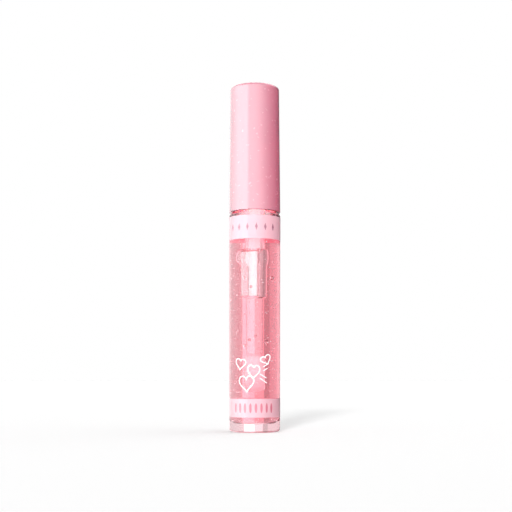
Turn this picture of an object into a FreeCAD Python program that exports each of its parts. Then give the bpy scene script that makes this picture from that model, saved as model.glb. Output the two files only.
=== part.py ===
"""Lip gloss tube: a clear bottle with gel, a threaded neck, a wiper, two bands, and a cap with its applicator.

Millimetres, +Z up. The origin is at the centre of the bottle's foot, on the surface that it stands on.
Each function below makes one sub-part in its assembled place, and the cap is screwed fully down.
"""
import FreeCAD
import Part

import math
import os

Vector = FreeCAD.Vector

# Whole tube
TOTAL_HEIGHT = 114.0
BASE_RADIUS = 8.2           # bottle at its foot, and cap at its top
SEAM_RADIUS = 8.5           # where bottle and cap meet

# Bottle: thick clear wall, small domed recess underneath
SHOULDER_Z = 71.2
FOOT_ROUNDING = 1.2
SHOULDER_ROUNDING = 1.1
CAVITY_RADIUS = 5.9
CAVITY_FLOOR_Z = 2.6
CAVITY_ROUNDING = 2.6
CAVITY_SHOULDER_Z = 69.2    # where the cavity starts to close in to the neck bore
RECESS_RADIUS = 2.9
RECESS_DEPTH = 0.7

# Neck and thread
NECK_RADIUS = 5.0
NECK_BORE_RADIUS = 3.6
NECK_TOP_Z = 82.5
NECK_ROUNDING = 0.4
THREAD_PITCH = 2.5
THREAD_TURNS = 1.75
THREAD_START_Z = 74.4
THREAD_DEPTH = 0.6
THREAD_ROOT_WIDTH = 1.05
THREAD_CREST_WIDTH = 0.45
THREAD_BITE = 0.15          # how far a thread's root is sunk into the wall that carries it

# Wiper: a soft insert that plugs the neck and scrapes the stem
WIPER_FLANGE_RADIUS = 4.8
WIPER_FLANGE_THICKNESS = 0.6
WIPER_WALL = 0.7
WIPER_CONE_TOP_Z = 66.2
WIPER_CONE_BOTTOM_Z = 63.2
WIPER_LIP_Z = 59.2          # end of the close-fitting sleeve that scrapes the stem
WIPER_LIP_THICKNESS = 0.42
STEM_CLEARANCE = 0.06

# Applicator: stem, moulded core and flocked tip
STEM_RADIUS = 1.85
STEM_PLUG_RADIUS = 2.6
STEM_PLUG_TOP_Z = 92.0
STEM_END_Z = 25.0
STEM_END_ROUNDING = 0.5
BARB_RADIUS = 1.0
BARB_TOP_Z = 31.0
TIP_Z = 12.3
CORE_RADIUS = 1.45
FLOCK_THICKNESS = 0.9
FLOCK_TOP_Z = 24.2
TIP_SLANT_FRONT_Z = 19.4    # where the slanted face meets the front of the tip
TIP_SLANT_DEGREES = 62.0    # angle of the slanted face above the horizontal

# Gloss: a stiff gel with an air pocket left round the stem
GLOSS_TOP_Z = 70.8
POCKET_BOTTOM_Z = 43.0
POCKET_TOP_Z = WIPER_LIP_Z
POCKET_RADIUS = 2.64
POCKET_ROUNDING = 0.7
TIP_HOLLOW_GAP = 0.12       # gel kept this far off the flocked tip

# Outer cap
CAP_BOTTOM_Z = 71.56
CAP_BORE_RADIUS = 7.2
CAP_UPPER_BORE_RADIUS = 6.5
CAP_STEP_Z = 95.5
CAP_ROOF = 1.4
CAP_TOP_ROUNDING = 1.0
CAP_LIP_ROUNDING = 0.25

# Inner cap
SKIRT_BOTTOM_Z = 72.2
SKIRT_INNER_RADIUS = 5.85
SKIRT_OUTER_RADIUS = 6.6
CEILING_THICKNESS = 1.2
SOCKET_WALL = 1.2
SOCKET_ROOF = 1.0
GRIP_RIBS = 12
GRIP_RIB_WIDTH = 1.1

# Printed film bands
BAND_THICKNESS = 0.08
UPPER_BAND = (62.06, 69.76)
LOWER_BAND = (4.76, 10.70)

WIPER_TOP_Z = NECK_TOP_Z + WIPER_FLANGE_THICKNESS


def bottle_radius(z):
    """Outer radius of the gently tapered bottle at height z."""
    return BASE_RADIUS + (SEAM_RADIUS - BASE_RADIUS) * z / SHOULDER_Z


def revolve_outline(points):
    """Closed polygon of (radius, z) points turned once round the Z axis."""
    corners = [Vector(radius, 0, z) for radius, z in points]
    face = Part.Face(Part.makePolygon(corners + corners[:1]))
    return face.revolve(Vector(0, 0, 0), Vector(0, 0, 1), 360)


def ring_edges(solid, radius, z, tolerance=0.02):
    """Circular edges of the solid that lie at this radius and height."""
    found = []
    for edge in solid.Edges:
        box = edge.BoundBox
        flat = box.ZLength < tolerance
        if flat and abs(box.ZMin - z) < tolerance and abs(box.XMax - radius) < tolerance:
            found.append(edge)
    return found


def round_rings(solid, rings):
    """Fillet circular edges, each given as (radius, z, rounding)."""
    for radius, z, rounding in rings:
        solid = solid.makeFillet(rounding, ring_edges(solid, radius, z))
    return solid


def thread_ridge(wall_radius, outward, start_z):
    """One helical ridge of trapezoid section, standing out of a wall of this radius."""
    sign = 1 if outward else -1
    root = wall_radius - sign * THREAD_BITE
    crest = wall_radius + sign * THREAD_DEPTH
    half_root = THREAD_ROOT_WIDTH / 2
    half_crest = THREAD_CREST_WIDTH / 2
    section = Part.makePolygon([
        Vector(root, 0, -half_root),
        Vector(crest, 0, -half_crest),
        Vector(crest, 0, half_crest),
        Vector(root, 0, half_root),
        Vector(root, 0, -half_root),
    ])
    path = Part.makeHelix(THREAD_PITCH, THREAD_PITCH * THREAD_TURNS, wall_radius)
    ridge = Part.Wire(path.Edges).makePipeShell([section], True, True)
    ridge.translate(Vector(0, 0, start_z))
    return ridge


def make_bottle():
    foot_radius = bottle_radius(0)
    body = revolve_outline([
        (0, 0),
        (foot_radius, 0),
        (SEAM_RADIUS, SHOULDER_Z),
        (NECK_RADIUS, SHOULDER_Z),
        (NECK_RADIUS, NECK_TOP_Z),
        (0, NECK_TOP_Z),
    ])
    body = round_rings(body, [
        (foot_radius, 0, FOOT_ROUNDING),
        (SEAM_RADIUS, SHOULDER_Z, SHOULDER_ROUNDING),
        (NECK_RADIUS, SHOULDER_Z, NECK_ROUNDING),
        (NECK_RADIUS, NECK_TOP_Z, NECK_ROUNDING),
    ])
    neck_rise = CAVITY_RADIUS - NECK_BORE_RADIUS
    cavity = revolve_outline([
        (0, CAVITY_FLOOR_Z),
        (CAVITY_RADIUS, CAVITY_FLOOR_Z),
        (CAVITY_RADIUS, CAVITY_SHOULDER_Z),
        (NECK_BORE_RADIUS, CAVITY_SHOULDER_Z + neck_rise),
        (NECK_BORE_RADIUS, NECK_TOP_Z + 1),
        (0, NECK_TOP_Z + 1),
    ])
    cavity = round_rings(cavity, [
        (CAVITY_RADIUS, CAVITY_FLOOR_Z, CAVITY_ROUNDING),
        (CAVITY_RADIUS, CAVITY_SHOULDER_Z, NECK_ROUNDING),
    ])
    dome_radius = (RECESS_RADIUS ** 2 + RECESS_DEPTH ** 2) / (2 * RECESS_DEPTH)
    recess = Part.makeSphere(dome_radius, Vector(0, 0, RECESS_DEPTH - dome_radius))
    solid = body.cut(cavity).cut(recess)
    return solid.fuse(thread_ridge(NECK_RADIUS, True, THREAD_START_Z)).removeSplitter()


def make_wiper():
    barrel = NECK_BORE_RADIUS
    bore = barrel - WIPER_WALL
    lip_bore = STEM_RADIUS + STEM_CLEARANCE
    return revolve_outline([
        (bore, WIPER_TOP_Z),
        (WIPER_FLANGE_RADIUS, WIPER_TOP_Z),
        (WIPER_FLANGE_RADIUS, NECK_TOP_Z),
        (barrel, NECK_TOP_Z),
        (barrel, WIPER_CONE_TOP_Z),
        (lip_bore + WIPER_LIP_THICKNESS, WIPER_CONE_BOTTOM_Z),
        (lip_bore + WIPER_LIP_THICKNESS, WIPER_LIP_Z),
        (lip_bore, WIPER_LIP_Z),
        (lip_bore, WIPER_CONE_BOTTOM_Z + WIPER_WALL),
        (bore, WIPER_CONE_TOP_Z + WIPER_WALL),
    ])


def below_slant(offset):
    """Block that takes the tip's slanted face off, moved out from the core's own face by offset."""
    size = 30.0
    block = Part.makeBox(size, size, size, Vector(-size / 2, -size, -size / 2))
    block.rotate(Vector(0, 0, 0), Vector(1, 0, 0), 90 - TIP_SLANT_DEGREES)
    slope = math.radians(TIP_SLANT_DEGREES)
    front_y = -(CORE_RADIUS + FLOCK_THICKNESS)
    block.translate(Vector(0, front_y, TIP_SLANT_FRONT_Z))
    back_off = FLOCK_THICKNESS - offset
    block.translate(Vector(0, back_off * math.sin(slope), back_off * math.cos(slope)))
    return block


def tip_body(grow):
    """Slanted, round-ended finger: the core with grow at 0, larger all round by grow otherwise."""
    radius = CORE_RADIUS + grow
    bottom = TIP_Z + FLOCK_THICKNESS - grow
    finger = revolve_outline([
        (0, bottom),
        (radius, bottom),
        (radius, STEM_END_Z),
        (0, STEM_END_Z),
    ])
    finger = round_rings(finger, [(radius, bottom, radius * 0.7)])
    return finger.cut(below_slant(grow))


def make_applicator_core():
    barb = Part.makeCylinder(BARB_RADIUS, BARB_TOP_Z - STEM_END_Z, Vector(0, 0, STEM_END_Z))
    return tip_body(0).fuse(barb).removeSplitter()


def make_applicator_flock():
    sleeve_top = Part.makeBox(20, 20, 20, Vector(-10, -10, FLOCK_TOP_Z))
    return tip_body(FLOCK_THICKNESS).cut(sleeve_top).cut(tip_body(0))


def make_stem():
    shaft = revolve_outline([
        (0, STEM_END_Z),
        (STEM_RADIUS, STEM_END_Z),
        (STEM_RADIUS, WIPER_TOP_Z),
        (STEM_PLUG_RADIUS, WIPER_TOP_Z),
        (STEM_PLUG_RADIUS, STEM_PLUG_TOP_Z),
        (0, STEM_PLUG_TOP_Z),
    ])
    shaft = round_rings(shaft, [(STEM_RADIUS, STEM_END_Z, STEM_END_ROUNDING)])
    barb_bore = Part.makeCylinder(BARB_RADIUS, BARB_TOP_Z - STEM_END_Z, Vector(0, 0, STEM_END_Z))
    return shaft.cut(barb_bore)


def make_gloss():
    """Gel that fills the cavity up to the neck, less the wiper, the air pocket and the applicator."""
    neck_rise = GLOSS_TOP_Z - CAVITY_SHOULDER_Z
    fill = revolve_outline([
        (0, CAVITY_FLOOR_Z),
        (CAVITY_RADIUS, CAVITY_FLOOR_Z),
        (CAVITY_RADIUS, CAVITY_SHOULDER_Z),
        (CAVITY_RADIUS - neck_rise, GLOSS_TOP_Z),
        (0, GLOSS_TOP_Z),
    ])
    fill = round_rings(fill, [
        (CAVITY_RADIUS, CAVITY_FLOOR_Z, CAVITY_ROUNDING),
        (CAVITY_RADIUS, CAVITY_SHOULDER_Z, NECK_ROUNDING),
    ])
    stem_bore = STEM_RADIUS + STEM_CLEARANCE
    lip = stem_bore + WIPER_LIP_THICKNESS
    wiper_space = revolve_outline([
        (0, WIPER_LIP_Z),
        (lip, WIPER_LIP_Z),
        (lip, WIPER_CONE_BOTTOM_Z),
        (NECK_BORE_RADIUS, WIPER_CONE_TOP_Z),
        (NECK_BORE_RADIUS, GLOSS_TOP_Z + 1),
        (0, GLOSS_TOP_Z + 1),
    ])
    pocket_height = POCKET_TOP_Z - POCKET_BOTTOM_Z
    pocket = Part.makeCylinder(POCKET_RADIUS, pocket_height, Vector(0, 0, POCKET_BOTTOM_Z))
    pocket = round_rings(pocket, [
        (POCKET_RADIUS, POCKET_BOTTOM_Z, POCKET_ROUNDING),
        (POCKET_RADIUS, POCKET_TOP_Z, POCKET_ROUNDING),
    ])
    shaft_space = Part.makeCylinder(stem_bore, WIPER_LIP_Z - TIP_Z, Vector(0, 0, TIP_Z + FLOCK_THICKNESS))
    hollow_radius = CORE_RADIUS + FLOCK_THICKNESS + TIP_HOLLOW_GAP
    tip_space = revolve_outline([
        (0, TIP_Z - TIP_HOLLOW_GAP),
        (hollow_radius, TIP_Z - TIP_HOLLOW_GAP),
        (hollow_radius, STEM_END_Z),
        (stem_bore, STEM_END_Z + hollow_radius - stem_bore),
        (0, STEM_END_Z + hollow_radius - stem_bore),
    ])
    solid = fill.cut(wiper_space).cut(pocket)
    return solid.cut(shaft_space).cut(tip_space)


def make_outer_cap():
    top_radius = BASE_RADIUS
    shell = revolve_outline([
        (0, CAP_BOTTOM_Z),
        (SEAM_RADIUS, CAP_BOTTOM_Z),
        (top_radius, TOTAL_HEIGHT),
        (0, TOTAL_HEIGHT),
    ])
    shell = round_rings(shell, [
        (SEAM_RADIUS, CAP_BOTTOM_Z, CAP_LIP_ROUNDING),
        (top_radius, TOTAL_HEIGHT, CAP_TOP_ROUNDING),
    ])
    roof_z = TOTAL_HEIGHT - CAP_ROOF
    bore = revolve_outline([
        (0, CAP_BOTTOM_Z - 1),
        (CAP_BORE_RADIUS, CAP_BOTTOM_Z - 1),
        (CAP_BORE_RADIUS, CAP_STEP_Z),
        (CAP_UPPER_BORE_RADIUS, CAP_STEP_Z),
        (CAP_UPPER_BORE_RADIUS, roof_z),
        (0, roof_z),
    ])
    return shell.cut(bore)


def make_inner_cap():
    """Threaded skirt, sealing ceiling and stem socket, held in the outer cap by its ribs."""
    ceiling_top = WIPER_TOP_Z + CEILING_THICKNESS
    socket_radius = STEM_PLUG_RADIUS + SOCKET_WALL
    solid = revolve_outline([
        (SKIRT_INNER_RADIUS, SKIRT_BOTTOM_Z),
        (SKIRT_OUTER_RADIUS, SKIRT_BOTTOM_Z),
        (SKIRT_OUTER_RADIUS, CAP_STEP_Z),
        (SKIRT_INNER_RADIUS, CAP_STEP_Z),
        (SKIRT_INNER_RADIUS, ceiling_top),
        (socket_radius, ceiling_top),
        (socket_radius, STEM_PLUG_TOP_Z + SOCKET_ROOF),
        (0, STEM_PLUG_TOP_Z + SOCKET_ROOF),
        (0, STEM_PLUG_TOP_Z),
        (STEM_PLUG_RADIUS, STEM_PLUG_TOP_Z),
        (STEM_PLUG_RADIUS, WIPER_TOP_Z),
        (SKIRT_INNER_RADIUS, WIPER_TOP_Z),
    ])
    ribs = []
    rib_reach = CAP_BORE_RADIUS - SKIRT_OUTER_RADIUS + 0.3
    rib_height = CAP_STEP_Z - SKIRT_BOTTOM_Z - 1
    corner = Vector(SKIRT_OUTER_RADIUS - 0.3, -GRIP_RIB_WIDTH / 2, SKIRT_BOTTOM_Z + 1)
    for number in range(GRIP_RIBS):
        rib = Part.makeBox(rib_reach + 1, GRIP_RIB_WIDTH, rib_height, corner)
        rib.rotate(Vector(0, 0, 0), Vector(0, 0, 1), 360 * number / GRIP_RIBS)
        ribs.append(rib)
    rib_limit = Part.makeCylinder(CAP_BORE_RADIUS, CAP_STEP_Z, Vector(0, 0, 0))
    rib_group = ribs[0].fuse(ribs[1:]).common(rib_limit)
    thread = thread_ridge(SKIRT_INNER_RADIUS, False, THREAD_START_Z + THREAD_PITCH / 2)
    return solid.fuse(rib_group).fuse(thread)


def make_band(span):
    """Thin printed film wrapped once round the tapered bottle."""
    low, high = span
    return revolve_outline([
        (bottle_radius(low), low),
        (bottle_radius(low) + BAND_THICKNESS, low),
        (bottle_radius(high) + BAND_THICKNESS, high),
        (bottle_radius(high), high),
    ])


PARTS = {
    "bottle": make_bottle(),
    "gloss": make_gloss(),
    "wiper": make_wiper(),
    "upper_band": make_band(UPPER_BAND),
    "lower_band": make_band(LOWER_BAND),
    "outer_cap": make_outer_cap(),
    "inner_cap": make_inner_cap(),
    "stem": make_stem(),
    "applicator_core": make_applicator_core(),
    "applicator_flock": make_applicator_flock(),
}

os.makedirs("parts", exist_ok=True)
for name, shape in PARTS.items():
    if len(shape.Solids) != 1 or not shape.isValid():
        raise ValueError(name + " is not one valid solid")
    solid = shape.Solids[0]
    solid.exportStep("parts/" + name + ".step")
    print(name, round(solid.Volume, 1))
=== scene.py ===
"""Looks of the lip gloss tube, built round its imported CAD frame.

Everything is in metres in the frame's axes: +Z up, origin under the foot, and -Y is the decorated front.
The tube is clear plastic round a pink gel, so the bottle, the gel and its air pocket are smooth lathed meshes
that replace their CAD nodes, and the cap, wiper, stem and tip get finer meshes than the CAD's too.
"""
import math
import random

import bmesh
import bpy
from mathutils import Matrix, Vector, noise


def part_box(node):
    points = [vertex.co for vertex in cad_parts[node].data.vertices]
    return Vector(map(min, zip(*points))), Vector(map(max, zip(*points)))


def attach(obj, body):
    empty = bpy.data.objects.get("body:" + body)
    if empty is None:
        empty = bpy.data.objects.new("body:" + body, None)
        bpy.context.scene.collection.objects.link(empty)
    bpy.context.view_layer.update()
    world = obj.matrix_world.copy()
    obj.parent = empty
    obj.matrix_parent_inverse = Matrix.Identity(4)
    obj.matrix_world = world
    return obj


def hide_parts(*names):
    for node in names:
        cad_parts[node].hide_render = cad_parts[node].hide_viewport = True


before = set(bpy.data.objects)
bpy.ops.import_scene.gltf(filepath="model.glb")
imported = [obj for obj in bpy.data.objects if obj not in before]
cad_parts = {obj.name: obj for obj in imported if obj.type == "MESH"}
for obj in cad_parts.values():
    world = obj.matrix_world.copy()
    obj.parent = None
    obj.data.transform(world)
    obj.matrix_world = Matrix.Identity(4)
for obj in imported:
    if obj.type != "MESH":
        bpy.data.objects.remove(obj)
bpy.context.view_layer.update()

MM = 0.001
TURN = 2 * math.pi


# ---------------------------------------------------------------- levels and radii, from the frame

def bottom(node):
    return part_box(node)[0].z


def top(node):
    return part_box(node)[1].z


def radius(node):
    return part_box(node)[1].x


HEIGHT = top("outer_cap")
CAP_BOTTOM = bottom("outer_cap")
NECK_TOP = top("bottle")
GEL_FLOOR = bottom("gloss")
GEL_TOP = top("gloss")
GEL_RADIUS = radius("gloss")
SEAM_RADIUS = radius("bottle")
TIP_BOTTOM = bottom("applicator_flock")
FLOCK_TOP = top("applicator_flock")
FLOCK_RADIUS = radius("applicator_flock")
STEM_BOTTOM = bottom("stem")
STEM_TOP = top("stem")
SKIRT_BOTTOM = bottom("inner_cap")
INNER_CAP_TOP = top("inner_cap")
WIPER_BOTTOM = bottom("wiper")
WIPER_TOP = top("wiper")

# Sizes that the boxes don't give
BASE_RADIUS = 8.2 * MM
SHOULDER = 71.2 * MM
WALL_SPLIT = 69.2 * MM          # where the cavity closes in towards the neck
NECK_RADIUS = 5.0 * MM
NECK_BORE = 3.6 * MM
THREAD_PITCH = 2.5 * MM
THREAD_HEIGHT = 0.6 * MM
THREAD_BOTTOM = 74.4 * MM
THREAD_TURNS = 1.75
CAP_BORE = 7.2 * MM
SKIRT_INNER = 5.85 * MM
SKIRT_OUTER = 6.6 * MM
STEM_RADIUS = 1.85 * MM
STEM_PLUG_RADIUS = 2.6 * MM
LIP_RADIUS = STEM_RADIUS + 0.06 * MM
POCKET_BOTTOM = 43.0 * MM
POCKET_TOP = WIPER_BOTTOM
POCKET_RADIUS = 2.64 * MM
RECESS_RADIUS = 2.9 * MM
RECESS_DEPTH = 0.7 * MM
FLOOR_ROUNDING = 2.6 * MM       # where the cavity's side meets its floor
CONE_TOP = 66.2 * MM            # the wiper narrows from here
CONE_BOTTOM = 63.2 * MM         # to its lip here
WIPER_FLANGE = 4.8 * MM
WIPER_WALL = 0.7 * MM
LIP_OUTSIDE = LIP_RADIUS + 0.42 * MM
CAP_UPPER_BORE = 6.5 * MM
CAP_ROOF = 1.4 * MM
FLOCK_THICKNESS = 0.9 * MM
SLANT_DEGREES = 62
SLANT_TOP = 19.4 * MM           # where the tip's slanted face meets its front

# How finely turned pieces are divided, and how many small things the gel holds
STEM_SIDES = 96
BOTTLE_SIDES = 160
LINER_SIDES = 192
BUBBLES = 80
FLAKES = 1000

PLASTIC_IOR = 1.55
GEL_IOR = 1.475


def bottle_radius(z):
    """Outer radius of the gently tapered bottle."""
    return BASE_RADIUS + (SEAM_RADIUS - BASE_RADIUS) * z / SHOULDER


# ---------------------------------------------------------------- mesh helpers

def mesh_object(name, bm, sharp_degrees=35):
    """Object from a bmesh, smooth except across edges sharper than sharp_degrees."""
    mesh = bpy.data.meshes.new(name)
    bm.to_mesh(mesh)
    bm.free()
    mesh.polygons.foreach_set("use_smooth", [True] * len(mesh.polygons))
    mesh.set_sharp_from_angle(angle=math.radians(sharp_degrees))
    obj = bpy.data.objects.new(name, mesh)
    bpy.context.scene.collection.objects.link(obj)
    return obj


def rounded(corners, steps=8):
    """Outline of (radius, z) points from (radius, z, rounding) corners, each rounding as an arc."""
    points = []
    for index, (r, z, rounding) in enumerate(corners):
        here = Vector((r, z))
        if rounding == 0:
            points.append((r, z))
            continue
        before = Vector(corners[index - 1][:2]) - here
        after = Vector(corners[(index + 1) % len(corners)][:2]) - here
        before.normalize()
        after.normalize()
        half = before.angle(after) / 2
        centre = here + (before + after).normalized() * (rounding / math.sin(half))
        reach = rounding / math.tan(half)
        start = here + before * reach - centre
        end = here + after * reach - centre
        sweep = start.angle_signed(end)
        for step in range(steps + 1):
            turn = -sweep * step / steps
            spoke = Vector((
                start.x * math.cos(turn) - start.y * math.sin(turn),
                start.x * math.sin(turn) + start.y * math.cos(turn),
            ))
            points.append(tuple(centre + spoke))
    return points


def subdivided(points, longest):
    """The same open outline with no step longer than this."""
    fine = [points[0]]
    for a, b in zip(points, points[1:]):
        count = max(1, math.ceil(math.dist(a, b) / longest))
        for step in range(1, count + 1):
            t = step / count
            fine.append((a[0] + (b[0] - a[0]) * t, a[1] + (b[1] - a[1]) * t))
    return fine


def held(points, reach=0.12 * MM):
    """The same outline with points added near the ends of its long steps, so that their shading stays flat."""
    fine = [points[0]]
    for a, b in zip(points, points[1:]):
        length = math.dist(a, b)
        if length > 3 * reach:
            for t in (reach / length, 1 - reach / length):
                fine.append((a[0] + (b[0] - a[0]) * t, a[1] + (b[1] - a[1]) * t))
        fine.append(b)
    return fine


def add_lathe(bm, outline, segments=128, ring=False, shape=None):
    """Adds a surface turned round Z. Points on the axis become poles; ring joins the last point to the first.

    shape(radius, z, angle) may return a changed (radius, z) for each vertex.
    """
    rows = []
    for r, z in held(outline):
        if r < 1e-7:
            rows.append([bm.verts.new((0, 0, z))])
            continue
        row = []
        for index in range(segments):
            angle = TURN * index / segments
            here = shape(r, z, angle) if shape else (r, z)
            row.append(bm.verts.new((here[0] * math.cos(angle), here[0] * math.sin(angle), here[1])))
        rows.append(row)
    pairs = list(zip(rows, rows[1:]))
    if ring:
        pairs.append((rows[-1], rows[0]))
    faces = []
    for low, high in pairs:
        for index in range(segments):
            following = (index + 1) % segments
            corners = [low[index % len(low)], low[following % len(low)]]
            corners += [high[following % len(high)], high[index % len(high)]]
            unique = list(dict.fromkeys(corners))
            if len(unique) > 2:
                faces.append(bm.faces.new(unique))
    return faces


def lathe(name, outline, segments=128, ring=False, shape=None, sharp_degrees=35):
    bm = bmesh.new()
    add_lathe(bm, outline, segments, ring, shape)
    bmesh.ops.recalc_face_normals(bm, faces=bm.faces)
    return mesh_object(name, bm, sharp_degrees)


def smoothstep(low, high, value):
    t = min(1.0, max(0.0, (value - low) / (high - low)))
    return t * t * (3 - 2 * t)


def thread_rise(angle, z, start):
    """Height of a single-start trapezoid thread above its wall, faded in and out at its two ends."""
    travelled = (z - start) / THREAD_PITCH
    turns = angle / TURN
    nearest = round(travelled - turns) + turns
    fade = smoothstep(-0.02, 0.06, nearest) * smoothstep(-0.02, 0.06, THREAD_TURNS - nearest)
    offset = abs(travelled - nearest) * THREAD_PITCH
    flank = smoothstep(0.56 * MM, 0.2 * MM, offset) if offset < 0.56 * MM else 0.0
    return THREAD_HEIGHT * flank * fade


# ---------------------------------------------------------------- material helpers

class Graph:
    """A material's nodes, with short calls for the few kinds used here."""

    def __init__(self, name):
        self.material = bpy.data.materials.new(name)
        self.material.use_nodes = True
        self.tree = self.material.node_tree
        self.shader = self.tree.nodes["Principled BSDF"]
        self.output = self.tree.nodes["Material Output"]

    def set(self, **values):
        for key, value in values.items():
            socket = self.shader.inputs[key.replace("_", " ")]
            socket.default_value = value

    def add(self, kind, **values):
        node = self.tree.nodes.new(kind)
        for key, value in values.items():
            if hasattr(node, key):
                setattr(node, key, value)
            else:
                node.inputs[key.replace("_", " ")].default_value = value
        return node

    def link(self, source, target):
        self.tree.links.new(source, target)

    def position(self):
        return self.add("ShaderNodeTexCoord").outputs["Object"]

    def noise(self, scale, detail=3.0, roughness=0.5):
        node = self.add("ShaderNodeTexNoise", Scale=scale, Detail=detail, Roughness=roughness)
        self.link(self.position(), node.inputs["Vector"])
        return node.outputs["Fac"]

    def ramp(self, source, low, high, colors):
        node = self.add("ShaderNodeValToRGB")
        node.color_ramp.elements[0].position = low
        node.color_ramp.elements[1].position = high
        node.color_ramp.elements[0].color = (*colors[0], 1)
        node.color_ramp.elements[1].color = (*colors[1], 1)
        self.link(source, node.inputs["Fac"])
        return node.outputs["Color"]

    def spread(self, source, low, high):
        """Maps a 0 to 1 value onto low to high."""
        node = self.add("ShaderNodeMapRange")
        node.inputs["To Min"].default_value = low
        node.inputs["To Max"].default_value = high
        self.link(source, node.inputs["Value"])
        return node.outputs["Result"]

    def bump(self, height, distance, strength):
        node = self.add("ShaderNodeBump", Distance=distance, Strength=strength)
        self.link(height, node.inputs["Height"])
        self.link(node.outputs["Normal"], self.shader.inputs["Normal"])

    def drive(self, source, name):
        self.link(source, self.shader.inputs[name])


def absorbing(graph, per_metre):
    """Volume Absorption that removes this many nepers of red, green and blue for each metre."""
    density = max(per_metre) * 1.05
    color = [1 - value / density for value in per_metre]
    node = graph.add("ShaderNodeVolumeAbsorption")
    node.inputs["Color"].default_value = (*color, 1)
    node.inputs["Density"].default_value = density
    graph.link(node.outputs["Volume"], graph.output.inputs["Volume"])


def clear_plastic():
    graph = Graph("clear_plastic")
    graph.set(Base_Color=(1.0, 0.995, 0.995, 1), Roughness=0.01, IOR=PLASTIC_IOR, Transmission_Weight=1.0)
    graph.set(Specular_Tint=(0.4, 0.4, 0.4, 1))
    graph.bump(graph.noise(90.0, 2.0), 0.00001, 0.25)
    absorbing(graph, (4.0, 30.0, 26.0))
    return graph.material


def gel():
    graph = Graph("pink_gel")
    graph.set(Base_Color=(1, 1, 1, 1), Roughness=0.02, IOR=GEL_IOR, Transmission_Weight=1.0)
    graph.set(Specular_Tint=(0.1, 0.1, 0.1, 1))
    graph.bump(graph.noise(260.0, 3.0), 0.00003, 0.3)
    absorbing(graph, (18.0, 122.0, 104.0))
    return graph.material


def frosted(name, tint, ior, roughness, wet_roughness=None, milk=0.1, glow=0.0):
    """Milky see-through plastic with a faint painted glow: emission that stands in for the light inside it.

    With a wet roughness, the gel wets it below the air pocket: there it is smooth and clear and has no painted
    glow.
    """
    graph = Graph(name)
    graph.set(Base_Color=(*tint, 1), IOR=ior, Transmission_Weight=1 - milk, Specular_Tint=(0.1, 0.1, 0.1, 1))
    # Painted glow: emission of this strength stands in for light scattered inside the milky plastic.
    graph.set(Emission_Color=(1, 0.95, 0.97, 1), Emission_Strength=glow)
    if wet_roughness is None:
        graph.drive(graph.spread(graph.noise(700.0), roughness - 0.03, roughness + 0.03), "Roughness")
    else:
        separate = graph.add("ShaderNodeSeparateXYZ")
        graph.link(graph.position(), separate.inputs[0])
        dry_clearness = 0.45
        changes = [
            ("Roughness", wet_roughness, roughness),
            ("Transmission Weight", 1 - milk, dry_clearness),
            ("Emission Strength", 0.0, glow),
        ]
        for socket, wet, dry in changes:
            step = graph.add("ShaderNodeMapRange")
            step.inputs["From Min"].default_value = POCKET_BOTTOM - 0.3 * MM
            step.inputs["From Max"].default_value = POCKET_BOTTOM + 0.3 * MM
            step.inputs["To Min"].default_value = wet
            step.inputs["To Max"].default_value = dry
            graph.link(separate.outputs["Z"], step.inputs["Value"])
            graph.drive(step.outputs["Result"], socket)
    graph.bump(graph.noise(1500.0, 2.0), 0.00001, 0.2)
    return graph.material


def cap_plastic():
    graph = Graph("cap_plastic")
    graph.set(IOR=1.5, Coat_Weight=1.0, Coat_Roughness=0.05, Coat_IOR=1.6, Specular_IOR_Level=0.8)
    graph.shader.subsurface_method = "BURLEY"
    graph.set(Subsurface_Weight=1.0, Subsurface_Scale=0.0012, Subsurface_Radius=(1.0, 0.35, 0.45))
    tone = graph.ramp(graph.noise(70.0), 0.35, 0.65, [(0.53, 0.13, 0.2), (0.56, 0.138, 0.21)])
    graph.drive(tone, "Base Color")
    graph.drive(graph.spread(graph.noise(900.0), 0.22, 0.3), "Roughness")
    graph.bump(graph.noise(160.0, 2.0), 0.00001, 0.2)
    return graph.material


def film(name, dark, light, passing=0.0):
    """Glossy printed film or ink; one that lets light pass also has a painted glow on its side towards the tube's
    axis: emission that stands in for the light that its inner side gets.
    """
    graph = Graph(name)
    graph.set(IOR=1.5, Coat_Weight=1.0, Coat_Roughness=0.08, Coat_IOR=1.6, Transmission_Weight=passing)
    graph.drive(graph.ramp(graph.noise(120.0), 0.35, 0.65, [dark, light]), "Base Color")
    graph.drive(graph.spread(graph.noise(1400.0), 0.34, 0.44), "Roughness")
    graph.bump(graph.noise(2500.0, 2.0), 0.000004, 0.3)
    if passing:
        # Painted glow: faces turned towards the tube's axis emit pale pink, standing in for light on the film's
        # inner side.
        facing = graph.add("ShaderNodeVectorMath")
        facing.operation = "DOT_PRODUCT"
        geometry = graph.add("ShaderNodeNewGeometry")
        graph.link(geometry.outputs["Normal"], facing.inputs[0])
        graph.link(geometry.outputs["Position"], facing.inputs[1])
        painted_glow_side = graph.add("ShaderNodeMath")
        painted_glow_side.operation = "LESS_THAN"
        graph.link(facing.outputs["Value"], painted_glow_side.inputs[0])
        painted_glow_side.inputs[1].default_value = 0.0
        graph.set(Emission_Color=(0.6, 0.36, 0.42, 1))
        graph.drive(painted_glow_side.outputs[0], "Emission Strength")
    return graph.material


def liner_plastic():
    """Natural white plastic; the red glow stands for light that has soaked through the pink cap round it."""
    graph = Graph("natural_white")
    graph.set(Emission_Color=(1.0, 0.12, 0.17, 1), Emission_Strength=0.9)
    graph.set(IOR=1.5, Subsurface_Weight=1.0, Subsurface_Scale=0.003)
    graph.drive(graph.ramp(graph.noise(150.0), 0.35, 0.65, [(0.9, 0.84, 0.85), (0.93, 0.88, 0.89)]), "Base Color")
    graph.drive(graph.spread(graph.noise(700.0), 0.32, 0.46), "Roughness")
    graph.bump(graph.noise(1500.0, 2.0), 0.00001, 0.3)
    return graph.material


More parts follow.
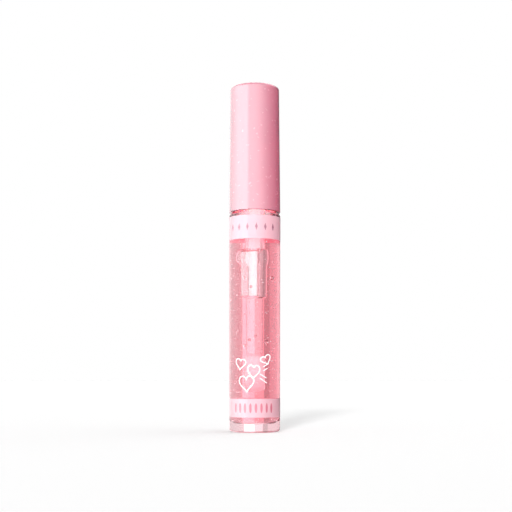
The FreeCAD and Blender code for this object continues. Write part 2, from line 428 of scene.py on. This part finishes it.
def shimmer_material():
    graph = Graph("shimmer")
    graph.set(Metallic=0.1, Roughness=0.25, IOR=1.6, Coat_Weight=1.0, Coat_Roughness=0.05)
    # Painted sparkle: the flakes emit a faint pinkish white, standing in for light glinting off them.
    graph.set(Emission_Color=(1.0, 0.9, 0.93, 1), Emission_Strength=0.5)
    graph.drive(graph.ramp(graph.noise(3000.0), 0.3, 0.7, [(1.0, 0.86, 0.9), (1.0, 0.98, 0.99)]), "Base Color")
    return graph.material


# ---------------------------------------------------------------- the bottle and what it holds

def make_bottle():
    """Clear thick-walled bottle in one closed skin: outside, thread, neck, cavity and foot recess."""
    outside = rounded([
        (RECESS_RADIUS, 0, 0),
        (BASE_RADIUS, 0, 1.2 * MM),
        (SEAM_RADIUS, SHOULDER, 1.1 * MM),
        (NECK_RADIUS, SHOULDER, 0.4 * MM),
        (NECK_RADIUS, NECK_TOP, 0.4 * MM),
        (NECK_BORE, NECK_TOP, 0),
    ])
    inside = rounded([
        (NECK_BORE, NECK_TOP, 0),
        (NECK_BORE, WALL_SPLIT + GEL_RADIUS - NECK_BORE, 0),
        (GEL_RADIUS, WALL_SPLIT, 0.4 * MM),
        (GEL_RADIUS, GEL_FLOOR, FLOOR_ROUNDING),
        (0, GEL_FLOOR, 0),
    ])
    recess_steps = 8
    recess = []
    for step in range(recess_steps):
        t = step / recess_steps
        recess.append((RECESS_RADIUS * t, RECESS_DEPTH * (1 - t * t)))
    outline = recess + subdivided(outside, 0.25 * MM) + subdivided(inside, 2 * MM)[1:]

    def threaded(r, z, angle):
        if abs(r - NECK_RADIUS) < 1e-6 and z > SHOULDER:
            r += thread_rise(angle, z, THREAD_BOTTOM)
        return r, z

    return lathe("bottle_wall", outline, BOTTLE_SIDES, shape=threaded, sharp_degrees=40)


def pocket_outline():
    """Side of the air pocket round the stem, from the wiper's end down."""
    side = rounded([
        (LIP_RADIUS + 0.5 * MM, POCKET_TOP, 0),
        (POCKET_RADIUS + 0.2 * MM, POCKET_TOP, 0.2 * MM),
        (POCKET_RADIUS, POCKET_BOTTOM, 0.6 * MM),
        (STEM_RADIUS, POCKET_BOTTOM, 0),
    ])
    return subdivided(side, 0.3 * MM)


def pocket_shape(r, z, angle):
    """Gives the air pocket a lobe that flares left under the wiper, and a side that reaches the wall in front."""
    if not (POCKET_BOTTOM < z < POCKET_TOP and STEM_RADIUS < r < GEL_RADIUS - 1 * MM):
        return r, z
    widest = POCKET_TOP - 3.4 * MM
    if z < widest:
        lobe = smoothstep(widest - 2.6 * MM, widest, z)
    else:
        lobe = math.sqrt(max(0.0, 1 - ((z - widest) / (POCKET_TOP - widest)) ** 2))
    left = (0.5 - 0.5 * math.cos(angle)) ** 1.5
    swollen = r + lobe * (0.3 + 1.1 * left) * MM
    window_middle = math.radians(-106)
    outer_edge, inner_edge = math.radians(36), math.radians(24)
    window = smoothstep(math.cos(outer_edge), math.cos(inner_edge), math.cos(angle - window_middle))
    window *= smoothstep(POCKET_BOTTOM, POCKET_BOTTOM + 0.6 * MM, z)
    window *= smoothstep(POCKET_TOP, POCKET_TOP - 1.2 * MM, z)
    return swollen + window * (GEL_RADIUS - 0.15 * MM - swollen), z


def add_void(bm, outline, segments, place):
    """Closed hollow inside the gel: its faces look into the hollow."""
    faces = add_lathe(bm, outline, segments)
    verts = list({vert for face in faces for vert in face.verts})
    bmesh.ops.translate(bm, verts=verts, vec=place)
    bmesh.ops.recalc_face_normals(bm, faces=faces)
    bmesh.ops.reverse_faces(bm, faces=faces)


def ball(r, steps=8):
    return [(r * math.sin(math.pi * k / steps), -r * math.cos(math.pi * k / steps)) for k in range(steps + 1)]


def make_gel():
    """Gel that fills the cavity up to the neck, round the wiper, stem and tip, with its air pocket and bubbles."""
    overlap = 0.02 * MM
    bm = bmesh.new()
    stem_bore = STEM_RADIUS - overlap
    sleeve = LIP_OUTSIDE - overlap
    wiper = NECK_BORE - overlap
    outline = rounded([
        (0, GEL_FLOOR - overlap, 0),
        (GEL_RADIUS + overlap, GEL_FLOOR - overlap, FLOOR_ROUNDING),
        (GEL_RADIUS + overlap, WALL_SPLIT, 0.4 * MM),
        (GEL_RADIUS + WALL_SPLIT - GEL_TOP + overlap, GEL_TOP, 0),
        (wiper, GEL_TOP, 0),
        (wiper, CONE_TOP, 0.3 * MM),
        (sleeve, CONE_BOTTOM, 0.3 * MM),
        (sleeve, WIPER_BOTTOM, 0.1 * MM),
    ])
    outline += pocket_outline()
    outline += rounded([
        (stem_bore, POCKET_BOTTOM, 0),
        (stem_bore, STEM_BOTTOM + overlap, 0.5 * MM),
        (0, STEM_BOTTOM + overlap, 0),
    ])
    faces = add_lathe(bm, outline, BOTTLE_SIDES, shape=pocket_shape)
    bmesh.ops.recalc_face_normals(bm, faces=faces)
    tip = tip_surface(0.74 * MM, FLOCK_TOP - 0.12 * MM)
    bmesh.ops.reverse_faces(tip, faces=tip.faces)
    tip_mesh = bpy.data.meshes.new("tip_hollow")
    tip.to_mesh(tip_mesh)
    tip.free()
    bm.from_mesh(tip_mesh)
    bpy.data.meshes.remove(tip_mesh)
    for x, y, z, r in bubble_places():
        add_void(bm, ball(r), 12, Vector((x, y, z)))
    return mesh_object("gel_body", bm, 60)


def bubble_places():
    """Centres and radii of the bubbles: a few listed one by one, and a drift of small ones towards the front."""
    rng = random.Random(21)
    named = [
        (-1.1, -4.8, 46.6, 0.46),
        (-2.9, -4.1, 49.6, 0.42),
        (-3.6, -3.3, 52.6, 0.34),
        (4.6, -2.6, 49.6, 0.6),
        (3.1, -3.5, 28.6, 0.75),
        (-1.4, -4.8, 29.4, 0.46),
        (0.3, -4.9, 30.6, 0.42),
        (-2.6, -4.2, 27.6, 0.4),
    ]
    found = [tuple(value * MM for value in entry) for entry in named]
    while len(found) < BUBBLES:
        angle = math.radians(rng.gauss(-105, 50))
        reach = rng.uniform(4.0, 5.5) * MM
        z = rng.choice([rng.gauss(29, 1.6), rng.gauss(37, 4), rng.uniform(14, 60)]) * MM
        r = rng.uniform(0.06, 0.17) * MM
        place = Vector((reach * math.cos(angle), reach * math.sin(angle), z))
        if all((place - Vector(other[:3])).length > r + other[3] + 0.08 * MM for other in found):
            found.append((*place, r))
    return found


def make_shimmer():
    """Pearl flakes in the gel, each a flat six-sided bipyramid."""
    rng = random.Random(5)
    bm = bmesh.new()
    for _ in range(FLAKES):
        angle = rng.uniform(0, TURN)
        reach = math.sqrt(rng.uniform(0.5, 1.0)) * (GEL_RADIUS - 0.3 * MM)
        z = rng.uniform(GEL_FLOOR + 0.6 * MM, GEL_TOP - 2 * MM)
        centre = Vector((reach * math.cos(angle), reach * math.sin(angle), z))
        if reach < 3.6 * MM and POCKET_BOTTOM - 1 * MM < z < POCKET_TOP + 1 * MM:
            continue
        normal = Vector((rng.gauss(0, 1), rng.gauss(0, 1), rng.gauss(0, 1))).normalized()
        side = normal.orthogonal().normalized()
        across = normal.cross(side)
        size = rng.uniform(0.08, 0.2) * MM
        rim = []
        for corner in range(6):
            a = TURN * corner / 6
            rim.append(bm.verts.new(centre + (side * math.cos(a) + across * math.sin(a)) * size))
        above = bm.verts.new(centre + normal * size * 0.15)
        below = bm.verts.new(centre - normal * size * 0.15)
        for corner in range(6):
            following = (corner + 1) % 6
            bm.faces.new([rim[corner], rim[following], above])
            bm.faces.new([rim[following], rim[corner], below])
    return mesh_object("shimmer_flakes", bm, 20)


def make_wiper():
    """Flanged sleeve in the neck that narrows to a thin lip round the stem."""
    bore = NECK_BORE - WIPER_WALL
    outline = rounded([
        (bore, WIPER_TOP, 0.15 * MM),
        (WIPER_FLANGE, WIPER_TOP, 0.2 * MM),
        (WIPER_FLANGE, NECK_TOP, 0.1 * MM),
        (NECK_BORE, NECK_TOP, 0),
        (NECK_BORE, CONE_TOP, 0.3 * MM),
        (LIP_OUTSIDE, CONE_BOTTOM, 0.3 * MM),
        (LIP_OUTSIDE, WIPER_BOTTOM, 0.12 * MM),
        (LIP_RADIUS, WIPER_BOTTOM, 0.1 * MM),
        (LIP_RADIUS, CONE_BOTTOM + WIPER_WALL, 0.3 * MM),
        (bore, CONE_TOP + WIPER_WALL, 0.3 * MM),
    ])
    return lathe("wiper_insert", outline, STEM_SIDES, ring=True)


def band_outline(node, proud):
    low, high = bottom(node), top(node)
    return [
        (bottle_radius(low), low),
        (bottle_radius(low) + proud, low + 0.02 * MM),
        (bottle_radius(high) + proud, high - 0.02 * MM),
        (bottle_radius(high), high),
    ]


def make_band(node, name):
    outline = subdivided(band_outline(node, 0.06 * MM), 1 * MM)
    return lathe(name, outline, BOTTLE_SIDES, ring=True, sharp_degrees=25)


# ---------------------------------------------------------------- printing on the bottle

def on_bottle(across, z, proud):
    """Point on the bottle's front: across is the arc length to the right of the middle."""
    r = bottle_radius(z) + proud
    angle = across / bottle_radius(z)
    return Vector((r * math.sin(angle), -r * math.cos(angle), z))


def add_stroke(bm, path, width, base, height, closed):
    """Raised ink line along a path of (across, z) points, flat-topped with square-cut sides."""
    count = len(path)
    rows = []
    for index, point in enumerate(path):
        before = path[index - 1] if closed or index > 0 else point
        after = path[(index + 1) % count] if closed or index < count - 1 else point
        along = (Vector(after) - Vector(before)).normalized()
        side = Vector((-along.y, along.x)) * width / 2
        left = Vector(point) + side
        right = Vector(point) - side
        row = [on_bottle(*left, base), on_bottle(*left, base + height)]
        row += [on_bottle(*right, base + height), on_bottle(*right, base)]
        rows.append([bm.verts.new(place) for place in row])
    pairs = list(zip(rows, rows[1:]))
    if closed:
        pairs.append((rows[-1], rows[0]))
    for a, b in pairs:
        for corner in range(4):
            following = (corner + 1) % 4
            bm.faces.new([a[corner], a[following], b[following], b[corner]])
    if not closed:
        bm.faces.new(rows[0])
        bm.faces.new(list(reversed(rows[-1])))


def heart_path(across, z, width, height, tilt, points=56):
    """Plain heart outline about (across, z), from the usual sine and cosine curve."""
    path = []
    for index in range(points):
        t = TURN * index / points
        x = 16 * math.sin(t) ** 3 / 32 * width
        y = (13 * math.cos(t) - 5 * math.cos(2 * t) - 2 * math.cos(3 * t) - math.cos(4 * t)) / 29 * height
        x, y = x * math.cos(tilt) - y * math.sin(tilt), x * math.sin(tilt) + y * math.cos(tilt)
        path.append((across + x, z + y))
    return path


def degrees_across(angle, z):
    return math.radians(angle) * bottle_radius(z)


def make_hearts():
    """Four heart outlines and four dashes in raised white ink, each placed by its bearing in degrees."""
    bm = bmesh.new()
    hearts = [
        (-33.0, 21.8, 3.7, 3.6, -0.12),
        (-2.2, 19.4, 3.9, 4.5, -0.1),
        (-18.5, 15.7, 5.0, 5.2, 0.05),
        (26.0, 23.1, 3.6, 2.9, 0.4),
    ]
    for angle, z, width, height, tilt in hearts:
        path = heart_path(degrees_across(angle, z * MM), z * MM, width * MM, height * MM, tilt)
        add_stroke(bm, path, 0.34 * MM, 0, 0.03 * MM, True)
    dashes = [
        (19.0, 20.7, 33.0, 21.9),
        (19.5, 19.5, 30.0, 20.3),
        (12.0, 18.5, 27.0, 17.2),
        (11.0, 17.2, 28.0, 15.6),
    ]
    for from_angle, from_z, to_angle, to_z in dashes:
        path = []
        for step in range(9):
            t = step / 8
            z = (from_z + (to_z - from_z) * t) * MM
            path.append((degrees_across(from_angle + (to_angle - from_angle) * t, z), z))
        add_stroke(bm, path, 0.28 * MM, 0, 0.03 * MM, False)
    bmesh.ops.recalc_face_normals(bm, faces=bm.faces)
    return mesh_object("heart_print", bm, 30)


def add_patch(bm, across, z, half_width, half_height, corners, base, height):
    """Small raised ornament with this many corners: 4 gives a diamond, many an oval."""
    low, high = [], []
    for index in range(corners):
        t = TURN * index / corners
        place = (across + half_width * math.sin(t), z + half_height * math.cos(t))
        low.append(bm.verts.new(on_bottle(*place, base)))
        high.append(bm.verts.new(on_bottle(*place, base + height)))
    for index in range(corners):
        following = (index + 1) % corners
        bm.faces.new([low[index], low[following], high[following], high[index]])
    bm.faces.new(high)
    bm.faces.new(list(reversed(low)))


def make_ornament(name, node, angles, half_width, half_height, corners):
    """Row of plain shapes printed along the middle of a band, across its front."""
    bm = bmesh.new()
    z = (bottom(node) + top(node)) / 2
    for angle in angles:
        across = degrees_across(angle, z)
        add_patch(bm, across, z, half_width, half_height, corners, 0.05 * MM, 0.025 * MM)
    bmesh.ops.recalc_face_normals(bm, faces=bm.faces)
    return mesh_object(name, bm, 30)


def spaced(first, last, count):
    """Evenly spaced values, both ends included."""
    return [first + (last - first) * index / (count - 1) for index in range(count)]


# ---------------------------------------------------------------- the cap and the applicator

def make_outer_cap():
    """Cap shell, open below, with a wider bore where the liner sits."""
    roof = HEIGHT - CAP_ROOF
    step = INNER_CAP_TOP
    outline = rounded([
        (0, HEIGHT, 0),
        (BASE_RADIUS, HEIGHT, 1.0 * MM),
        (SEAM_RADIUS, CAP_BOTTOM, 0.25 * MM),
        (CAP_BORE, CAP_BOTTOM, 0.2 * MM),
        (CAP_BORE, step, 0),
        (CAP_UPPER_BORE, step, 0),
        (CAP_UPPER_BORE, roof, 0.8 * MM),
        (0, roof, 0),
    ])
    return lathe("cap_shell", outline, BOTTLE_SIDES)


def make_inner_cap():
    """Threaded skirt with ceiling and stem socket; the ribs that grip the outer cap are waves of its outside."""
    ceiling = WIPER_TOP
    socket = STEM_PLUG_RADIUS + 1.2 * MM
    skirt_inside = subdivided([(SKIRT_INNER, ceiling), (SKIRT_INNER, SKIRT_BOTTOM)], 0.2 * MM)
    outline = [(0, STEM_TOP), (STEM_PLUG_RADIUS, STEM_TOP), (STEM_PLUG_RADIUS, ceiling)]
    outline += skirt_inside
    outline += subdivided([(SKIRT_OUTER, SKIRT_BOTTOM), (SKIRT_OUTER, INNER_CAP_TOP)], 1 * MM)
    outline += [
        (SKIRT_INNER, INNER_CAP_TOP),
        (SKIRT_INNER, ceiling + 1.2 * MM),
        (socket, ceiling + 1.2 * MM),
        (socket, STEM_TOP + 1 * MM),
        (0, STEM_TOP + 1 * MM),
    ]
    rib_reach = CAP_BORE - SKIRT_OUTER - 0.01 * MM

    def detailed(r, z, angle):
        if abs(r - SKIRT_INNER) < 1e-6 and z < ceiling:
            r -= thread_rise(angle, z, THREAD_BOTTOM + THREAD_PITCH / 2)
        if abs(r - SKIRT_OUTER) < 1e-6:
            wave = math.cos(12 * angle)
            r += rib_reach * smoothstep(0.6, 0.85, wave) * smoothstep(SKIRT_BOTTOM, SKIRT_BOTTOM + 1.5 * MM, z)
        return r, z

    return lathe("inner_cap_liner", outline, LINER_SIDES, shape=detailed)


def make_stem():
    """Solid rod with the wider plug that the liner grips."""
    outline = rounded([
        (0, STEM_TOP, 0),
        (STEM_PLUG_RADIUS, STEM_TOP, 0.2 * MM),
        (STEM_PLUG_RADIUS, WIPER_TOP, 0),
        (STEM_RADIUS, WIPER_TOP, 0),
        (STEM_RADIUS, STEM_BOTTOM, 0.5 * MM),
        (0, STEM_BOTTOM, 0),
    ])
    return lathe("stem_rod", outline, STEM_SIDES)


def tip_surface(grow, z_top):
    """Slanted, round-ended finger, grown outwards from the core; the slanted face looks forward and down."""
    base_radius = FLOCK_RADIUS - FLOCK_THICKNESS + grow
    low = TIP_BOTTOM + FLOCK_THICKNESS - grow
    outline = rounded([
        (0, low, 0),
        (base_radius, low, base_radius * 0.7),
        (base_radius, z_top, 0),
    ])
    outline = subdivided(outline, 0.35 * MM)
    slope = math.radians(SLANT_DEGREES)
    normal = Vector((0, math.sin(slope), math.cos(slope)))
    anchor = Vector((0, -FLOCK_RADIUS, SLANT_TOP)) + normal * (FLOCK_THICKNESS - grow)
    bm = bmesh.new()
    faces = add_lathe(bm, outline + [(0, z_top)], 64)
    for vert in bm.verts:
        depth = (vert.co - anchor).dot(normal)
        if depth < 0:
            vert.co -= normal * depth
    bmesh.ops.recalc_face_normals(bm, faces=faces)
    return bm


def make_core():
    bm = tip_surface(0, STEM_BOTTOM)
    return mesh_object("doe_foot_core", bm, 40)


def make_flock():
    """Soft flocked skin, a little lumpy."""
    bm = tip_surface(0.86 * MM, FLOCK_TOP - 0.05 * MM)
    bm.normal_update()
    bmesh.ops.subdivide_edges(bm, edges=bm.edges, cuts=1, use_grid_fill=True)
    bm.normal_update()
    for vert in bm.verts:
        lump = noise.noise(vert.co / (0.5 * MM))
        vert.co += vert.normal * (lump * 0.05 - 0.03) * MM
    return mesh_object("flocked_tip", bm, 60)


# ---------------------------------------------------------------- assembly

def dress(obj, material, body, slot, *nodes):
    """Gives a piece its material and its body, and hides the CAD nodes that it stands for. The slot argument is
    not used.
    """
    obj.data.materials.append(material)
    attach(obj, body)
    if nodes:
        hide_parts(*nodes)


def make_object():
    dress(make_bottle(), clear_plastic(), "bottle_unit", "clear_bottle", "bottle")
    dress(make_gel(), gel(), "bottle_unit", "gloss_gel", "gloss")
    dress(make_shimmer(), shimmer_material(), "bottle_unit", "gloss_gel")
    # The last number given to frosted is the strength of a painted glow, emission that stands in for light inside
    # the plastic.
    soft_white = frosted("wiper_natural", (0.99, 0.98, 0.98), PLASTIC_IOR, 0.06, None, 0.04, 0.12)
    dress(make_wiper(), soft_white, "bottle_unit", "wiper_plastic", "wiper")
    pale = film("band_film", (0.82, 0.5, 0.575), (0.84, 0.52, 0.595), 0.4)
    dress(make_band("upper_band", "upper_band_print"), pale, "bottle_unit", "band_film", "upper_band")
    dress(make_band("lower_band", "lower_band_print"), pale, "bottle_unit", "band_film", "lower_band")
    mauve = film("mauve_ink", (0.3, 0.09, 0.15), (0.33, 0.1, 0.17))
    rose = film("rose_ink", (0.5, 0.08, 0.14), (0.54, 0.09, 0.16))
    white = film("white_ink", (0.93, 0.91, 0.92), (0.97, 0.95, 0.96))
    diamonds = make_ornament("upper_ornament", "upper_band", spaced(-56, 44, 6), 0.45 * MM, 1.3 * MM, 4)
    dress(diamonds, mauve, "bottle_unit", "band_film")
    ovals = make_ornament("lower_ornament", "lower_band", spaced(-46, 40, 8), 0.4 * MM, 1.55 * MM, 20)
    dress(ovals, rose, "bottle_unit", "band_film")
    dress(make_hearts(), white, "bottle_unit", "band_film")

    dress(make_outer_cap(), cap_plastic(), "cap_unit", "cap_plastic", "outer_cap")
    dress(make_inner_cap(), liner_plastic(), "cap_unit", "inner_cap_plastic", "inner_cap")
    # Stem, core and flock get a painted glow too: the last number given to frosted.
    stem_frosted = frosted("stem_frosted", (0.995, 0.985, 0.99), 1.5, 0.2, 0.04, 0.02, 0.2)
    dress(make_stem(), stem_frosted, "cap_unit", "stem_plastic", "stem")
    core_frosted = frosted("core_frosted", (0.98, 0.9, 0.92), 1.04, 0.1, None, 0.4, 0.25)
    dress(make_core(), core_frosted, "cap_unit", "core_plastic", "applicator_core")
    flock = frosted("wet_flock", (0.98, 0.86, 0.89), 1.48, 0.2, None, 0.45, 0.3)
    dress(make_flock(), flock, "cap_unit", "flock", "applicator_flock")


# ---------------------------------------------------------------- stage, light and camera

def make_floor():
    """White floor, a hair below the foot; it is left out of reflections and of what is seen through the tube."""
    half_width = 40.0
    bm = bmesh.new()
    bmesh.ops.create_grid(bm, x_segments=1, y_segments=1, size=half_width)
    floor = mesh_object("floor", bm)
    floor.location.z = -0.02 * MM
    graph = Graph("floor_white")
    graph.set(Base_Color=(0.8, 0.8, 0.8, 1), Roughness=0.9, Specular_IOR_Level=0.1)
    graph.set(Emission_Color=(1, 1, 1, 1), Emission_Strength=0.2)
    floor.data.materials.append(graph.material)
    floor.visible_glossy = False
    floor.visible_transmission = False


def round_the_tube(azimuth, distance, z):
    """Place at this azimuth, counted from the front (-Y) towards the right (+X)."""
    angle = math.radians(azimuth)
    return Vector((distance * math.sin(angle), -distance * math.cos(angle), z))


def make_lights():
    """Broad key from the front, a little to the left, which throws a soft shadow back to the right."""
    data = bpy.data.lights.new("key", "SUN")
    data.energy = 2.0
    data.angle = math.radians(8)
    light = bpy.data.objects.new("key", data)
    elevation = math.radians(24)
    towards = round_the_tube(-9, math.cos(elevation), math.sin(elevation))
    light.location = towards
    light.visible_glossy = False
    light.rotation_euler = towards.to_track_quat("Z", "Y").to_euler()
    bpy.context.scene.collection.objects.link(light)


def bearing(nodes, links, direction):
    """Direction turned into 0 to 1 round the tube, 0.5 at the front and rising towards the right."""
    flip = nodes.new("ShaderNodeMath")
    flip.operation = "MULTIPLY"
    flip.inputs[1].default_value = -1
    links.new(direction.outputs["Y"], flip.inputs[0])
    angle = nodes.new("ShaderNodeMath")
    angle.operation = "ARCTAN2"
    links.new(direction.outputs["X"], angle.inputs[0])
    links.new(flip.outputs[0], angle.inputs[1])
    unit = nodes.new("ShaderNodeMapRange")
    unit.inputs["From Min"].default_value = -math.pi
    unit.inputs["From Max"].default_value = math.pi
    links.new(angle.outputs[0], unit.inputs["Value"])
    return unit.outputs[0]


def panels(nodes, links, around, levels):
    """Brightness of the panels that stand round the tube, from (bearing in degrees, level) pairs."""
    brightest = max(level for _, level in levels)
    ramp = nodes.new("ShaderNodeValToRGB")
    elements = ramp.color_ramp.elements
    for degrees, level in levels:
        if abs(degrees) == 180:
            element = elements[0 if degrees < 0 else -1]
        else:
            element = elements.new((degrees + 180) / 360)
        element.color = (*[level / brightest] * 3, 1)
    links.new(around, ramp.inputs["Fac"])
    scaled = nodes.new("ShaderNodeMath")
    scaled.operation = "MULTIPLY"
    scaled.inputs[1].default_value = brightest
    links.new(ramp.outputs["Color"], scaled.inputs[0])
    return scaled.outputs[0]


def choose(nodes, links, factor, first, second):
    """Mix of two values, each a socket or a number."""
    mix = nodes.new("ShaderNodeMix")
    links.new(factor, mix.inputs["Factor"])
    for name, source in (("A", first), ("B", second)):
        if isinstance(source, (int, float)):
            mix.inputs[name].default_value = source
        else:
            links.new(source, mix.inputs[name])
    return mix.outputs["Result"]


def make_world():
    """Studio surroundings: panels mirrored by the tube, a backdrop seen through it, and plain white elsewhere."""
    world = bpy.data.worlds.new("studio")
    bpy.context.scene.world = world
    world.use_nodes = True
    nodes, links = world.node_tree.nodes, world.node_tree.links
    background = nodes["Background"]
    direction = nodes.new("ShaderNodeSeparateXYZ")
    links.new(nodes.new("ShaderNodeTexCoord").outputs["Generated"], direction.inputs[0])
    around = bearing(nodes, links, direction)
    mirrored = panels(nodes, links, around, [
        (-180, 1.0), (-130, 1.8), (-105, 3.4), (-80, 5.2), (-31, 5.8), (-30.8, 4.1), (0, 3.8), (15, 3.4),
        (34, 2.6), (48, 1.9), (63, 1.3), (85, 0.6), (105, 0.25), (130, 0.05), (180, 0.2),
    ])
    backdrop = panels(nodes, links, around, [
        (-180, 1.2), (-167, 1.2), (-166.8, 0.7), (-158, 0.7), (-156, 0.95), (-110, 0.9), (-95, 1.0), (-80, 3.2),
        (-31, 3.8), (-30.8, 2.6), (15, 2.0), (60, 1.0), (110, 0.5), (140, 0.75), (162.8, 0.9), (163, 1.85),
        (180, 1.85),
    ])
    soft = panels(nodes, links, around, [(-180, 0.5), (-60, 0.4), (10, 0.4), (60, 1.1), (130, 1.3), (180, 0.5)])
    overhead = nodes.new("ShaderNodeMapRange")
    overhead.interpolation_type = "SMOOTHSTEP"
    overhead.inputs["From Min"].default_value = math.sin(math.radians(20))
    overhead.inputs["From Max"].default_value = math.sin(math.radians(42))
    links.new(direction.outputs["Z"], overhead.inputs["Value"])
    mirrored = choose(nodes, links, overhead.outputs[0], mirrored, 1.8)
    backdrop = choose(nodes, links, overhead.outputs[0], backdrop, 1.0)
    ray = nodes.new("ShaderNodeLightPath")
    level = choose(nodes, links, ray.outputs["Is Glossy Ray"], soft, mirrored)
    level = choose(nodes, links, ray.outputs["Is Transmission Ray"], level, backdrop)
    level = choose(nodes, links, ray.outputs["Is Camera Ray"], level, 1.0)
    links.new(level, background.inputs["Strength"])
    background.inputs["Color"].default_value = (1, 1, 1, 1)
    world.cycles.sampling_method = "NONE"


def make_camera():
    data = bpy.data.cameras.new("camera")
    data.sensor_width = 36
    data.lens = 73.6
    camera = bpy.data.objects.new("camera", data)
    camera.location = (0.46 * MM, -343 * MM, 16.6 * MM)
    camera.rotation_euler = (math.radians(90 + 6.754), 0, 0)
    bpy.context.scene.collection.objects.link(camera)
    bpy.context.scene.camera = camera


def set_look():
    scene = bpy.context.scene
    scene.cycles.sample_clamp_indirect = 4
    scene.view_settings.view_transform = "Standard"
    scene.cycles.use_light_tree = False
    scene.cycles.max_bounces = 24
    scene.cycles.transmission_bounces = 24
    scene.cycles.transparent_max_bounces = 16


make_camera()
make_floor()
make_lights()
make_world()
set_look()
make_object()
